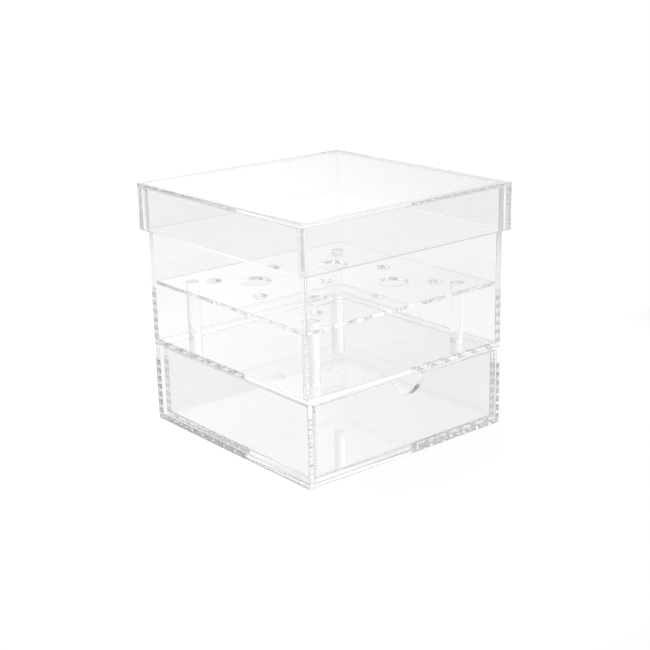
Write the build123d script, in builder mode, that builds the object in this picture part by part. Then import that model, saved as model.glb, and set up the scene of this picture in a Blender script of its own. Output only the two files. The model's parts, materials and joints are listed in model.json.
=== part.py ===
from build123d import *
import os

# Clear acrylic box with a drawer bay below, a holed shelf in the upper box and a lift-off lid.
# Millimetres. Origin at the centre of the footprint, on the surface it stands on.
# +Z is up, the drawer opens towards -Y, and left and right are -X and +X seen from the drawer.

# ---- driving dimensions -------------------------------------------------------------------
box_side = 200.0  # outer width and depth of the cabinet
total_height = 200.0  # floor to the top of the closed lid
sheet = 4.0  # sheet used for the walls, the bottom, the middle deck and the drawer
thin_sheet = 3.0  # sheet used for the lid's plate and the shelf
deck_top = 70.0  # top of the middle deck
arris = 0.3  # small chamfer left by flame polishing the cut edges

lid_gap = 0.8  # play between the lid's skirt and the box, each side
skirt_bottom = 162.0  # lower edge of the closed lid's skirt

shelf_side = 191.0  # square shelf plate, half a millimetre clear of each wall
shelf_top = 120.0  # top of the shelf plate when it stands in the box
post_diameter = 11.0
post_inset = 74.5  # posts stand this far from the centre, in X and in Y
stem_hole_diameter = 12.0
stem_hole_pitch = 62.0  # three by three small holes
wide_hole_diameter = 25.0
wide_hole_pitch = 76.0  # two by two large holes, between the small ones

drawer_side_gap = 1.0  # play between the drawer and the bay's walls, each side
drawer_top_gap = 2.5
drawer_back_gap = 4.0
notch_radius = 14.0  # half-round finger notch in the drawer front's top edge

# ---- worked out from them -----------------------------------------------------------------
half = box_side / 2
inner_side = box_side - 2 * sheet
rim = total_height - thin_sheet  # the lid's plate rests on the upper walls here
deck_bottom = deck_top - sheet

lid_side = box_side + 2 * (lid_gap + sheet)
lid_inner_side = lid_side - 2 * sheet

shelf_bottom = shelf_top - thin_sheet

drawer_width = inner_side - 2 * drawer_side_gap
drawer_depth = box_side - sheet - drawer_back_gap
drawer_bottom = sheet  # the drawer slides on the bottom plate
drawer_floor_top = drawer_bottom + sheet
drawer_top = deck_bottom - drawer_top_gap
drawer_middle_y = -half + drawer_depth / 2
drawer_back_y = -half + drawer_depth


def plate(name, width, depth, bottom, top, center=(0, 0)):
    """One piece of sheet, width along X and depth along Y, with its cut edges eased."""
    with BuildPart() as piece:
        with BuildSketch(Plane.XY.offset(bottom)):
            with Locations(center):
                Rectangle(width, depth)
        extrude(amount=top - bottom)
        chamfer(piece.edges(), length=arris)
    piece.part.label = name
    return piece.part


def write(part):
    """One STEP file for each piece, named as the piece."""
    export_step(part, f"parts/{part.label}.step")


os.makedirs("parts", exist_ok=True)

# ---- drawer bay: a floor and three walls, open at the front --------------------------------
side_wall_x = half - sheet / 2
bottom_plate_depth = box_side - sheet

write(plate("bottom_plate", inner_side, bottom_plate_depth, 0, sheet, (0, -sheet / 2)))
write(plate("bay_left_wall", sheet, box_side, 0, deck_bottom, (-side_wall_x, 0)))
write(plate("bay_right_wall", sheet, box_side, 0, deck_bottom, (side_wall_x, 0)))
write(plate("bay_back_wall", inner_side, sheet, 0, deck_bottom, (0, side_wall_x)))
write(plate("middle_deck", box_side, box_side, deck_bottom, deck_top))

# ---- upper box: the front and back walls cover the ends of the side walls ------------------
write(plate("upper_front_wall", box_side, sheet, deck_top, rim, (0, -side_wall_x)))
write(plate("upper_back_wall", box_side, sheet, deck_top, rim, (0, side_wall_x)))
write(plate("upper_left_wall", sheet, inner_side, deck_top, rim, (-side_wall_x, 0)))
write(plate("upper_right_wall", sheet, inner_side, deck_top, rim, (side_wall_x, 0)))

# ---- lid: a plate with a skirt under its edges ---------------------------------------------
skirt_x = (lid_side - sheet) / 2

write(plate("lid_top_plate", lid_side, lid_side, rim, total_height))
write(plate("lid_front_skirt", lid_side, sheet, skirt_bottom, rim, (0, -skirt_x)))
write(plate("lid_back_skirt", lid_side, sheet, skirt_bottom, rim, (0, skirt_x)))
write(plate("lid_left_skirt", sheet, lid_inner_side, skirt_bottom, rim, (-skirt_x, 0)))
write(plate("lid_right_skirt", sheet, lid_inner_side, skirt_bottom, rim, (skirt_x, 0)))

# ---- shelf plate: nine stem holes and four wide ones ---------------------------------------
with BuildPart() as shelf_plate:
    with BuildSketch(Plane.XY.offset(shelf_bottom)):
        Rectangle(shelf_side, shelf_side)
        with GridLocations(stem_hole_pitch, stem_hole_pitch, 3, 3):
            Circle(stem_hole_diameter / 2, mode=Mode.SUBTRACT)
        with GridLocations(wide_hole_pitch, wide_hole_pitch, 2, 2):
            Circle(wide_hole_diameter / 2, mode=Mode.SUBTRACT)
    extrude(amount=thin_sheet)
    chamfer(shelf_plate.edges(), length=arris)
shelf_plate.part.label = "shelf_plate"
write(shelf_plate.part)

# ---- shelf posts: solid round rods under the plate's corners -------------------------------
post_places = {
    "shelf_post_front_left": (-post_inset, -post_inset),
    "shelf_post_front_right": (post_inset, -post_inset),
    "shelf_post_back_left": (-post_inset, post_inset),
    "shelf_post_back_right": (post_inset, post_inset),
}
for post_name, post_place in post_places.items():
    with BuildPart() as post:
        with BuildSketch(Plane.XY.offset(deck_top)):
            with Locations(post_place):
                Circle(post_diameter / 2)
        extrude(amount=shelf_bottom - deck_top)
        chamfer(post.edges().filter_by(GeomType.CIRCLE), length=arris)
    post.part.label = post_name
    write(post.part)

# ---- drawer: four walls standing on a floor plate ------------------------------------------
drawer_side_x = (drawer_width - sheet) / 2
drawer_side_depth = drawer_depth - 2 * sheet

write(
    plate(
        "drawer_floor",
        drawer_width,
        drawer_depth,
        drawer_bottom,
        drawer_floor_top,
        (0, drawer_middle_y),
    )
)
for side_name, side_x in (("left", -drawer_side_x), ("right", drawer_side_x)):
    write(
        plate(
            f"drawer_{side_name}_side",
            sheet,
            drawer_side_depth,
            drawer_floor_top,
            drawer_top,
            (side_x, drawer_middle_y),
        )
    )
write(
    plate(
        "drawer_back",
        drawer_width,
        sheet,
        drawer_floor_top,
        drawer_top,
        (0, drawer_back_y - sheet / 2),
    )
)

# The front panel is drawn on the drawer's front face, with the notch centred on its top edge.
front_face = Plane(origin=(0, -half, drawer_floor_top), x_dir=(1, 0, 0), z_dir=(0, -1, 0))
front_height = drawer_top - drawer_floor_top
with BuildPart() as drawer_front:
    with BuildSketch(front_face):
        with Locations((0, front_height / 2)):
            Rectangle(drawer_width, front_height)
        with Locations((0, front_height)):
            Circle(notch_radius, mode=Mode.SUBTRACT)
    extrude(amount=-sheet)
    chamfer(drawer_front.edges(), length=arris)
drawer_front.part.label = "drawer_front"
write(drawer_front.part)
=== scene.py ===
import itertools
import json
import math

import bmesh
import bpy
from mathutils import Matrix, Vector
from mathutils.geometry import delaunay_2d_cdt


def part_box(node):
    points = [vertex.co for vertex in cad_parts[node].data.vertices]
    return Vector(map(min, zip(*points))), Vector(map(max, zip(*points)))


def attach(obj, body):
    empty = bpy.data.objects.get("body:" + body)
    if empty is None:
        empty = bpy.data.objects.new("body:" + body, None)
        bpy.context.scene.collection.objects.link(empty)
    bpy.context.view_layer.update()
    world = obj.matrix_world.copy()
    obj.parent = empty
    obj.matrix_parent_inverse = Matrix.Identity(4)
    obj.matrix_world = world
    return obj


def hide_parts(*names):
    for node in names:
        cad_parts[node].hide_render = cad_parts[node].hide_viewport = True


# Clear acrylic box with a drawer, a holed shelf and a lift-off lid. Each piece of sheet is rebuilt from its
# CAD box with softened edges, and its bonded seams are cut out as patches of their own, so that light crosses
# a bonded seam and turns back at a dry one, as it does in the real thing.

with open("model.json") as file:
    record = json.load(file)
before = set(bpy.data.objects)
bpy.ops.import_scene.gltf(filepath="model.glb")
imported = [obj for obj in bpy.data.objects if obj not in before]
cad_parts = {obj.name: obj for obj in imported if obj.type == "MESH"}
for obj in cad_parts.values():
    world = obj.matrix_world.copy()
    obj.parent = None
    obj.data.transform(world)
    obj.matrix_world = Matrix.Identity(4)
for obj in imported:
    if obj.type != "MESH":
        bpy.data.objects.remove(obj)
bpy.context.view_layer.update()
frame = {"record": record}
record = frame["record"]

MM = 0.001  # meshes are made in millimetres and written in metres
ARRIS = 0.3  # radius of the softened edges
ARRIS_STEPS = 3
CORNER = 0.4  # radius of an outline's corners
AIR = 0.06  # air between pieces that only rest on each other
SMOOTH_ANGLE = math.radians(10)  # faces that meet at less than this shade as one
STRAIGHT_ANGLE = math.radians(150)  # an outline's corner that opens wider than this stays as it is
FLAT = 0.999  # share of a normal along the thickness from which a face belongs to a flat side
SAME_HEIGHT = 1e-3
CUT_TOLERANCE = 1e-5
OUTLINE_TOLERANCE = 1e-6
TURN_TOLERANCE = 1e-9
NOTCH_RADIUS = 14.0
NOTCH_STEPS = 48
HOLE_STEPS = 72
ROD_STEPS = 64

# ---- camera ---------------------------------------------------------------------------------

CAMERA_AZIMUTH = math.radians(39.4)  # to the left of straight in front of the drawer
CAMERA_DISTANCE = 1.0235  # from the box's upright axis
CAMERA_HEIGHT = 0.4032
CAMERA_TILT = math.radians(17.4)
CAMERA_ROLL = math.radians(-1.3)
CAMERA_LENS = 73.1
CAMERA_REACH = (0.01, 100.0)  # nearest and furthest that it sees


def add_camera():
    data = bpy.data.cameras.new("camera")
    data.lens = CAMERA_LENS
    data.clip_start, data.clip_end = CAMERA_REACH
    camera = bpy.data.objects.new("camera", data)
    bpy.context.scene.collection.objects.link(camera)
    away = Vector((math.sin(CAMERA_AZIMUTH), math.cos(CAMERA_AZIMUTH), 0))
    camera.location = Vector((0, 0, CAMERA_HEIGHT)) - away * CAMERA_DISTANCE
    sight = away * math.cos(CAMERA_TILT) - Vector((0, 0, math.sin(CAMERA_TILT)))
    turn = sight.to_track_quat("-Z", "Y").to_matrix()
    camera.rotation_euler = (turn @ Matrix.Rotation(CAMERA_ROLL, 3, "Z")).to_euler()
    bpy.context.scene.camera = camera
    return away


# ---- outlines, in the plane of the sheet ----------------------------------------------------


def circle(center, radius, steps, clockwise=False):
    way = -1 if clockwise else 1
    turns = [way * 2 * math.pi * i / steps for i in range(steps)]
    return [center + Vector((math.cos(a), math.sin(a))) * radius for a in turns]


def soften_corners(points):
    """The closed outline with each real corner turned into a small curve."""
    out = []
    for i, here in enumerate(points):
        back = (points[i - 1] - here).normalized()
        ahead = (points[(i + 1) % len(points)] - here).normalized()
        if back.angle(ahead) > STRAIGHT_ANGLE:
            out.append(here)
            continue
        start = here + back * CORNER
        end = here + ahead * CORNER
        for k in range(ARRIS_STEPS + 1):
            t = k / ARRIS_STEPS
            out.append(start * (1 - t) ** 2 + here * 2 * t * (1 - t) + end * t**2)
    return out


def inset(points, distance):
    """The closed outline moved to its left, into the material."""
    out = []
    for i, here in enumerate(points):
        before = (here - points[i - 1]).normalized()
        after = (points[(i + 1) % len(points)] - here).normalized()
        left_before = Vector((-before.y, before.x))
        left_after = Vector((-after.y, after.x))
        shift = (left_before + left_after) / (1 + left_before.dot(left_after))
        out.append(here + shift * distance)
    return out


def inside(point, loop):
    odd = False
    for i, b in enumerate(loop):
        a = loop[i - 1]
        if (a.y > point.y) != (b.y > point.y):
            if point.x < a.x + (point.y - a.y) / (b.y - a.y) * (b.x - a.x):
                odd = not odd
    return odd


def is_convex(loop):
    for i, here in enumerate(loop):
        before = here - loop[i - 1]
        after = loop[(i + 1) % len(loop)] - here
        if before.x * after.y - before.y * after.x < -TURN_TOLERANCE:
            return False
    return True


# ---- solids ---------------------------------------------------------------------------------


def place(axis, flat, height):
    """A point of the sheet in X, Y, Z. axis is the direction of its thickness."""
    out = [0.0, 0.0, 0.0]
    out[axis] = height
    out[(axis + 1) % 3] = flat.x
    out[(axis + 2) % 3] = flat.y
    return out


def edge_profile(bottom, top):
    """(inset, height) down the sheet's edge, from one flat side to the other."""
    steps = [math.pi / 2 * k / ARRIS_STEPS for k in range(ARRIS_STEPS + 1)]
    upper = [(ARRIS * (1 - math.sin(a)), top - ARRIS * (1 - math.cos(a))) for a in steps]
    lower = [(i, bottom + top - h) for i, h in reversed(upper)]
    return upper + lower


def cap(bm, rings, loops):
    """Closes one flat side. An outline with holes or a notch is triangulated."""
    if len(rings) == 1 and all(is_convex(loop) for loop in loops):
        bm.faces.new(rings[0])
        return
    verts = [v for ring in rings for v in ring]
    points = [p for loop in loops for p in loop]
    edges = []
    first = 0
    for loop in loops:
        edges += [(first + i, first + (i + 1) % len(loop)) for i in range(len(loop))]
        first += len(loop)
    _, _, faces, sources, _, _ = delaunay_2d_cdt(points, edges, [], 0, OUTLINE_TOLERANCE)
    for face in faces:
        source = [sources[i][0] for i in face]
        middle = sum((points[i] for i in source), Vector((0, 0))) / len(source)
        if inside(middle, loops[0]) and not any(inside(middle, hole) for hole in loops[1:]):
            bm.faces.new([verts[i] for i in source])


def prism(loops, axis, bottom, top):
    """A sheet or a rod: the outline and its holes, given a thickness, with softened edges."""
    bm = bmesh.new()
    profile = edge_profile(bottom, top)
    rows = []
    for step, height in profile:
        flat = [inset(loop, step) for loop in loops]
        rows.append([[bm.verts.new(place(axis, p, height)) for p in loop] for loop in flat])
    for upper, lower in zip(rows, rows[1:]):
        for a, b in zip(upper, lower):
            for i in range(len(a)):
                j = (i + 1) % len(a)
                bm.faces.new((a[i], a[j], b[j], b[i]))
    flat = [inset(loop, ARRIS) for loop in loops]
    cap(bm, rows[0], flat)
    cap(bm, rows[-1], flat)
    bmesh.ops.recalc_face_normals(bm, faces=bm.faces[:])
    return bm


# ---- seams ----------------------------------------------------------------------------------


def seam(box_a, box_b):
    """(axis, height, lowest corner, highest corner) where two boxes meet face to face, or None."""
    lo = [max(box_a[0][i], box_b[0][i]) for i in range(3)]
    hi = [min(box_a[1][i], box_b[1][i]) for i in range(3)]
    thin = [i for i in range(3) if abs(hi[i] - lo[i]) < AIR / 2]
    wide = [i for i in range(3) if hi[i] - lo[i] > 2 * CORNER]
    if len(thin) != 1 or len(wide) != 2:
        return None
    return thin[0], (lo[thin[0]] + hi[thin[0]]) / 2, Vector(lo), Vector(hi)


def patch_outline(axis, lo, hi, is_round):
    u, v = (axis + 1) % 3, (axis + 2) % 3
    middle = Vector(((lo[u] + hi[u]) / 2, (lo[v] + hi[v]) / 2))
    half = Vector((hi[u] - lo[u], hi[v] - lo[v])) / 2 - Vector((CORNER, CORNER))
    if is_round:
        return circle(middle, half.x, ROD_STEPS // 2)
    signs = ((-1, -1), (1, -1), (1, 1), (-1, 1))
    return [middle + Vector((half.x * a, half.y * b)) for a, b in signs]


def is_flat(face, axis):
    return abs(face.normal[axis]) > FLAT


def cut_patch(bm, axis, height, outline, index):
    """Cuts a convex outline out of the flat faces at this height and gives it a material of its own."""
    u, v = (axis + 1) % 3, (axis + 2) % 3

    def at_height(face):
        return abs(face.calc_center_median()[axis] - height) < SAME_HEIGHT

    def flat_faces():
        return [f for f in bm.faces if is_flat(f, axis) and at_height(f)]

    def left_of(face, a, b):
        c = face.calc_center_median()
        return (b.x - a.x) * (c[v] - a.y) - (b.y - a.y) * (c[u] - a.x) > 0

    done = []
    for a, b in zip(outline, outline[1:] + outline[:1]):
        chosen = [f for f in flat_faces() if all(left_of(f, p, q) for p, q in done)]
        around = {e for f in chosen for e in f.edges} | {w for f in chosen for w in f.verts}
        normal = place(axis, Vector((b.y - a.y, a.x - b.x)), 0)
        bmesh.ops.bisect_plane(
            bm,
            geom=chosen + list(around),
            dist=CUT_TOLERANCE,
            plane_co=place(axis, a, height),
            plane_no=Vector(normal).normalized(),
        )
        bm.normal_update()
        done.append((a, b))
    for face in flat_faces():
        if all(left_of(face, p, q) for p, q in done):
            face.material_index = index


# ---- materials ------------------------------------------------------------------------------

ACRYLIC_IOR = 1.49
HAZE_SCALE = 35  # blotches of handling haze in a metre
HAZE_DETAIL = 6
HAZE_RANGE = (0.4, 0.75)  # part of the noise over which the roughness grows
WAVE_DETAIL = 2
WAVE_HEIGHT = 0.001
PATTERN_STEP = Vector((1, 0.7, 1.3))  # shift between one piece's pattern and the next one's
CLEAR = (1, 1, 1, 1)
UPPER_PAINTED_SHADE = (0.97, 0.97, 0.97, 1)  # painted shade, light grey, on the upper walls and the deck they stand on
LOWER_PAINTED_SHADE = (0.95, 0.95, 0.95, 1)  # painted shade, darker grey, on the walls of the drawer bay and of the drawer


class Nodes:
    """The node tree of a material or a world, emptied down to its output."""

    def __init__(self, owner):
        kind = "World" if isinstance(owner, bpy.types.World) else "Material"
        owner.use_nodes = True
        self.owner = owner
        self.tree = owner.node_tree
        self.tree.nodes.clear()
        self.out = self.add("ShaderNodeOutput" + kind)

    def add(self, kind, **values):
        node = self.tree.nodes.new(kind)
        for key, value in values.items():
            setattr(node, key, value)
        return node

    def link(self, source, target):
        self.tree.links.new(source, target)


def acrylic(name, painted_shade, rough, ripple, waves, number):
    """Clear cast acrylic, with handling haze and a slight ripple.

    rough is the least and most roughness, and waves is how many there are in a metre along X, Y and Z.
    number is the piece's own, so that no two pieces share a pattern.
    """
    n = Nodes(bpy.data.materials.new(name))
    shader = n.add("ShaderNodeBsdfPrincipled")
    # the base colour carries painted shade: grey on the walls, clear elsewhere
    shader.inputs["Base Color"].default_value = painted_shade
    shader.inputs["Transmission Weight"].default_value = 1
    shader.inputs["IOR"].default_value = ACRYLIC_IOR
    coords = n.add("ShaderNodeTexCoord")
    shift = n.add("ShaderNodeVectorMath", operation="ADD")
    shift.inputs[1].default_value = PATTERN_STEP * number
    n.link(coords.outputs["Object"], shift.inputs[0])

    haze = n.add("ShaderNodeTexNoise")
    haze.inputs["Scale"].default_value = HAZE_SCALE
    haze.inputs["Detail"].default_value = HAZE_DETAIL
    n.link(shift.outputs[0], haze.inputs["Vector"])
    spread = n.add("ShaderNodeMapRange")
    spread.inputs["From Min"].default_value = HAZE_RANGE[0]
    spread.inputs["From Max"].default_value = HAZE_RANGE[1]
    spread.inputs["To Min"].default_value = rough[0]
    spread.inputs["To Max"].default_value = rough[1]
    n.link(haze.outputs["Fac"], spread.inputs["Value"])
    n.link(spread.outputs[0], shader.inputs["Roughness"])

    stretch = n.add("ShaderNodeVectorMath", operation="MULTIPLY")
    stretch.inputs[1].default_value = waves
    n.link(shift.outputs[0], stretch.inputs[0])
    wave = n.add("ShaderNodeTexNoise")
    wave.inputs["Scale"].default_value = 1
    wave.inputs["Detail"].default_value = WAVE_DETAIL
    n.link(stretch.outputs[0], wave.inputs["Vector"])
    bump = n.add("ShaderNodeBump")
    bump.inputs["Strength"].default_value = ripple
    bump.inputs["Distance"].default_value = WAVE_HEIGHT
    n.link(wave.outputs["Fac"], bump.inputs["Height"])
    n.link(bump.outputs[0], shader.inputs["Normal"])
    n.link(shader.outputs[0], n.out.inputs["Surface"])
    return n.owner


def bonded():
    """A solvent-bonded seam: clear all through."""
    n = Nodes(bpy.data.materials.new("solvent_bond"))
    clear = n.add("ShaderNodeBsdfTransparent")
    n.link(clear.outputs[0], n.out.inputs["Surface"])
    return n.owner


# ---- pieces ---------------------------------------------------------------------------------

FACE, EDGE, BOND = 0, 1, 2  # material indices
FACE_ROUGH = (0.0, 0.02)
FACE_RIPPLE = 0.02
FACE_WAVES = (9.0, 9.0, 9.0)
EDGE_ROUGH = (0.0, 0.05)
EDGE_RIPPLE = 0.02
EDGE_LINES = 700.0  # fine lines in a metre of cut edge


def body_boxes():
    """Each node's body and its box in millimetres, with air left under or over what only rests."""
    out = {}
    for body, names in record["behaviour"]["bodies"].items():
        for name in names:
            lo, hi = (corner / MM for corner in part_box(name))
            if name == "drawer_floor" or name.startswith("shelf_post"):
                lo.z += AIR
            if name.startswith("upper_"):
                hi.z -= AIR
            out[name] = (body, lo, hi)
    return out


def sheet_outline(lo, hi, axis):
    u, v = (axis + 1) % 3, (axis + 2) % 3
    corners = ((lo[u], lo[v]), (hi[u], lo[v]), (hi[u], hi[v]), (lo[u], hi[v]))
    return [Vector(c) for c in corners]


def notched_outline(lo, hi):
    """The drawer front, drawn in Z and X: the half-round notch is in the middle of the top edge."""
    corners = sheet_outline(lo, hi, 1)
    turns = [math.pi * (0.5 - i / NOTCH_STEPS) for i in range(NOTCH_STEPS + 1)]
    notch = [Vector((hi.z - NOTCH_RADIUS * math.cos(a), NOTCH_RADIUS * math.sin(a))) for a in turns]
    return corners[:2] + notch[::-1] + corners[2:]


def shelf_holes():
    out = []
    for mount in record["mounts"]:
        if mount["kind"] == "bore":
            center = Vector(mount["pos_m"][:2]) / MM
            out.append(circle(center, mount["dims"]["r_mm"], HOLE_STEPS, clockwise=True))
    return out


def make_solid(name, lo, hi):
    """(bmesh, axis of its thickness)"""
    if name.startswith("shelf_post"):
        middle = (lo + hi) / 2
        rod = circle(middle.xy, (hi.x - lo.x) / 2, ROD_STEPS)
        return prism([rod], 2, lo.z, hi.z), 2
    size = hi - lo
    axis = min(range(3), key=lambda i: size[i])
    if name == "drawer_front":
        outline = notched_outline(lo, hi)
    else:
        outline = sheet_outline(lo, hi, axis)
    loops = [soften_corners(outline)]
    if name == "shelf_plate":
        loops += shelf_holes()
    return prism(loops, axis, lo[axis], hi[axis]), axis


def finish_mesh(bm, name):
    for face in bm.faces:
        face.smooth = True
    for edge in bm.edges:
        if len(edge.link_faces) == 2 and edge.calc_face_angle() > SMOOTH_ANGLE:
            edge.smooth = False
    bmesh.ops.scale(bm, vec=(MM, MM, MM), verts=bm.verts[:])
    mesh = bpy.data.meshes.new(name)
    bm.to_mesh(mesh)
    bm.free()
    return mesh


# painted shade: the upper walls and the deck are greyed, the lower walls more so, while the floors, the shelf
# and the lid stay clear
def sheet_painted_shade(name, axis):
    if name.startswith("upper_") or name == "middle_deck":
        return UPPER_PAINTED_SHADE
    return CLEAR if axis == 2 or name.startswith("lid_") else LOWER_PAINTED_SHADE


def cut_seams(parts, solids):
    """Where two pieces of one body meet, both get a patch of bond."""
    for a, b in itertools.combinations(parts, 2):
        if parts[a][0] != parts[b][0]:
            continue
        found = seam(parts[a][1:], parts[b][1:])
        if found is None:
            continue
        axis, height, lo, hi = found
        is_round = "post" in a or "post" in b
        outline = patch_outline(axis, lo, hi, is_round)
        for name in (a, b):
            cut_patch(solids[name][0], axis, height, outline, BOND)


def build_pieces():
    bond = bonded()
    parts = body_boxes()
    solids = {name: make_solid(name, lo, hi) for name, (body, lo, hi) in parts.items()}
    for bm, axis in solids.values():
        for face in bm.faces:
            face.material_index = FACE if is_flat(face, axis) else EDGE
    cut_seams(parts, solids)
    for i, (name, (bm, axis)) in enumerate(solids.items()):
        piece = bpy.data.objects.new("clear_" + name, finish_mesh(bm, "clear_" + name))
        bpy.context.scene.collection.objects.link(piece)
        painted_shade = sheet_painted_shade(name, axis)
        # the saw or laser leaves fine lines across an edge, in the direction of the sheet's thickness
        lines = [0.0 if k == axis else EDGE_LINES for k in range(3)]
        face = acrylic(name + "_face", painted_shade, FACE_ROUGH, FACE_RIPPLE, FACE_WAVES, i)
        edge = acrylic(name + "_edge", CLEAR, EDGE_ROUGH, EDGE_RIPPLE, lines, i)
        for material in (face, edge, bond):
            piece.data.materials.append(material)
        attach(piece, parts[name][0])
        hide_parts(name)


# ---- floor, world and lights ----------------------------------------------------------------

FLOOR_SIZE = 30.0
FLOOR_ALBEDO = 0.08  # the floor's light is painted on as glow in place of the studio light falling on it, so that shadows stay faint
FLOOR_LEVELS = (0.96, 1.01)  # painted glow of the white part, on the right and on the left
FLOOR_DARK = 0.58  # painted glow of the rest
PAINTED_POOL = (0.36, 0.62)  # painted pool of light: around the box the floor is white out to the first distance, and not from the second
FLOOR_END = (7.0, 14.0)  # distances between which it fades into the horizon
WORLD_LEVELS = (0.88, 2.15)  # brightness of the studio's white part, on the right and on the left
WORLD_DARKS = (0.56, 0.75)  # the same of the rest
SIDE_REACH = (-0.35, 0.45)  # share of a direction that points left, where the levels start and end
BACK_TURN = math.radians(6)  # the white part is centred this far to the left of straight behind
WORLD_LOBE = (0.5, 0.75)  # cosines from its centre between which the studio turns white
FLOOR_LOBE = (0.3, 0.62)  # the same for the painted light on the floor
HORIZON = 0.8
HORIZON_REACH = (0.07, 0.24)  # sines of the heights between which the horizon gives way to the rest
SOFTBOX_PLACE = Vector((0.1, 0.2, 1.6))
SOFTBOX_SIZE = 1.4
SOFTBOX_POWER = 4
BOUNCES = 96  # light crosses up to thirty sheets, and turns back inside them many times


class LightPattern:
    """How bright the studio is along a direction: white behind the box, more so on the left. The world gives
    it off as light, and the floor carries it as painted light.
    """

    def __init__(self, nodes, away):
        self.nodes = nodes
        self.left = Vector((-away.y, away.x, 0))
        self.middle = Matrix.Rotation(BACK_TURN, 3, "Z") @ away

    def smooth(self, source, low, high, least=0.0, most=1.0):
        step = self.nodes.add("ShaderNodeMapRange", interpolation_type="SMOOTHSTEP")
        step.inputs["From Min"].default_value = low
        step.inputs["From Max"].default_value = high
        step.inputs["To Min"].default_value = least
        step.inputs["To Max"].default_value = most
        self.nodes.link(source, step.inputs["Value"])
        return step.outputs[0]

    def along(self, direction, axis):
        share = self.nodes.add("ShaderNodeVectorMath", operation="DOT_PRODUCT")
        share.inputs[1].default_value = axis
        self.nodes.link(direction, share.inputs[0])
        return share.outputs["Value"]

    def behind(self, direction, lobe):
        return self.smooth(self.along(direction, self.middle), *lobe)

    def larger(self, a, b):
        most = self.nodes.add("ShaderNodeMath", operation="MAXIMUM")
        self.nodes.link(a, most.inputs[0])
        self.nodes.link(b, most.inputs[1])
        return most.outputs[0]

    def sided(self, direction, levels):
        """The first level on the right, growing to the second on the left."""
        return self.smooth(self.along(direction, self.left), *SIDE_REACH, *levels)

    def blend(self, share, start, end):
        """start where share is 0 and end where it is 1. Either one is an output or a number."""
        mix = self.nodes.add("ShaderNodeMix", data_type="FLOAT")
        self.nodes.link(share, mix.inputs["Factor"])
        for socket, value in (("A", start), ("B", end)):
            if isinstance(value, float):
                mix.inputs[socket].default_value = value
            else:
                self.nodes.link(value, mix.inputs[socket])
        return mix.outputs["Result"]


def add_floor(away):
    bpy.ops.mesh.primitive_plane_add(size=FLOOR_SIZE, location=(0, 0, -AIR * MM))
    floor = bpy.context.object
    floor.name = "floor"
    n = Nodes(bpy.data.materials.new("studio_floor_painted_light"))
    shader = n.add("ShaderNodeBsdfDiffuse")
    shader.inputs["Color"].default_value = (FLOOR_ALBEDO,) * 3 + (1,)
    where = n.add("ShaderNodeTexCoord").outputs["Object"]
    pattern = LightPattern(n, away)
    reach = n.add("ShaderNodeVectorMath", operation="LENGTH")
    n.link(where, reach.inputs[0])
    distance = reach.outputs["Value"]
    painted_pool = pattern.smooth(distance, *PAINTED_POOL, 1.0, 0.0)
    unit = n.add("ShaderNodeVectorMath", operation="NORMALIZE")
    n.link(where, unit.inputs[0])
    direction = unit.outputs[0]
    white = pattern.larger(painted_pool, pattern.behind(direction, FLOOR_LOBE))
    near = pattern.blend(white, FLOOR_DARK, pattern.sided(direction, FLOOR_LEVELS))
    # painted light: the floor glows in a pool around the box, white behind it and brighter on the left, in
    # place of the light that would fall there
    painted_glow = n.add("ShaderNodeEmission")
    strength = pattern.blend(pattern.smooth(distance, *FLOOR_END), near, HORIZON)
    n.link(strength, painted_glow.inputs["Strength"])
    both = n.add("ShaderNodeAddShader")
    n.link(shader.outputs[0], both.inputs[0])
    n.link(painted_glow.outputs[0], both.inputs[1])
    n.link(both.outputs[0], n.out.inputs["Surface"])
    floor.data.materials.append(n.owner)


def add_world(away):
    """White behind the box and grey elsewhere, so that clear edges have something to show."""
    n = Nodes(bpy.data.worlds.new("studio"))
    bpy.context.scene.world = n.owner
    where = n.add("ShaderNodeTexCoord").outputs["Generated"]
    pattern = LightPattern(n, away)
    height = n.add("ShaderNodeSeparateXYZ")
    n.link(where, height.inputs[0])
    dark = pattern.sided(where, WORLD_DARKS)
    bright = pattern.sided(where, WORLD_LEVELS)
    above = pattern.blend(pattern.behind(where, WORLD_LOBE), dark, bright)
    rise = pattern.smooth(height.outputs["Z"], *HORIZON_REACH)
    shade = n.add("ShaderNodeBackground")
    n.link(pattern.blend(rise, HORIZON, above), shade.inputs["Strength"])
    n.link(shade.outputs[0], n.out.inputs["Surface"])


def add_softbox():
    data = bpy.data.lights.new("top_softbox", "AREA")
    data.size = SOFTBOX_SIZE
    data.energy = SOFTBOX_POWER
    lamp = bpy.data.objects.new("top_softbox", data)
    lamp.location = SOFTBOX_PLACE
    lamp.rotation_euler = (-SOFTBOX_PLACE).to_track_quat("-Z", "Y").to_euler()
    bpy.context.scene.collection.objects.link(lamp)


def set_rendering():
    scene = bpy.context.scene
    scene.view_settings.view_transform = "Standard"
    scene.view_settings.look = "None"
    scene.cycles.max_bounces = BOUNCES
    scene.cycles.transmission_bounces = BOUNCES
    scene.cycles.glossy_bounces = BOUNCES
    scene.cycles.diffuse_bounces = 4
    scene.cycles.transparent_max_bounces = 64
    scene.cycles.caustics_reflective = True
    scene.cycles.caustics_refractive = True
    scene.cycles.use_denoising = True


away = add_camera()
build_pieces()
add_floor(away)
add_world(away)
add_softbox()
set_rendering()
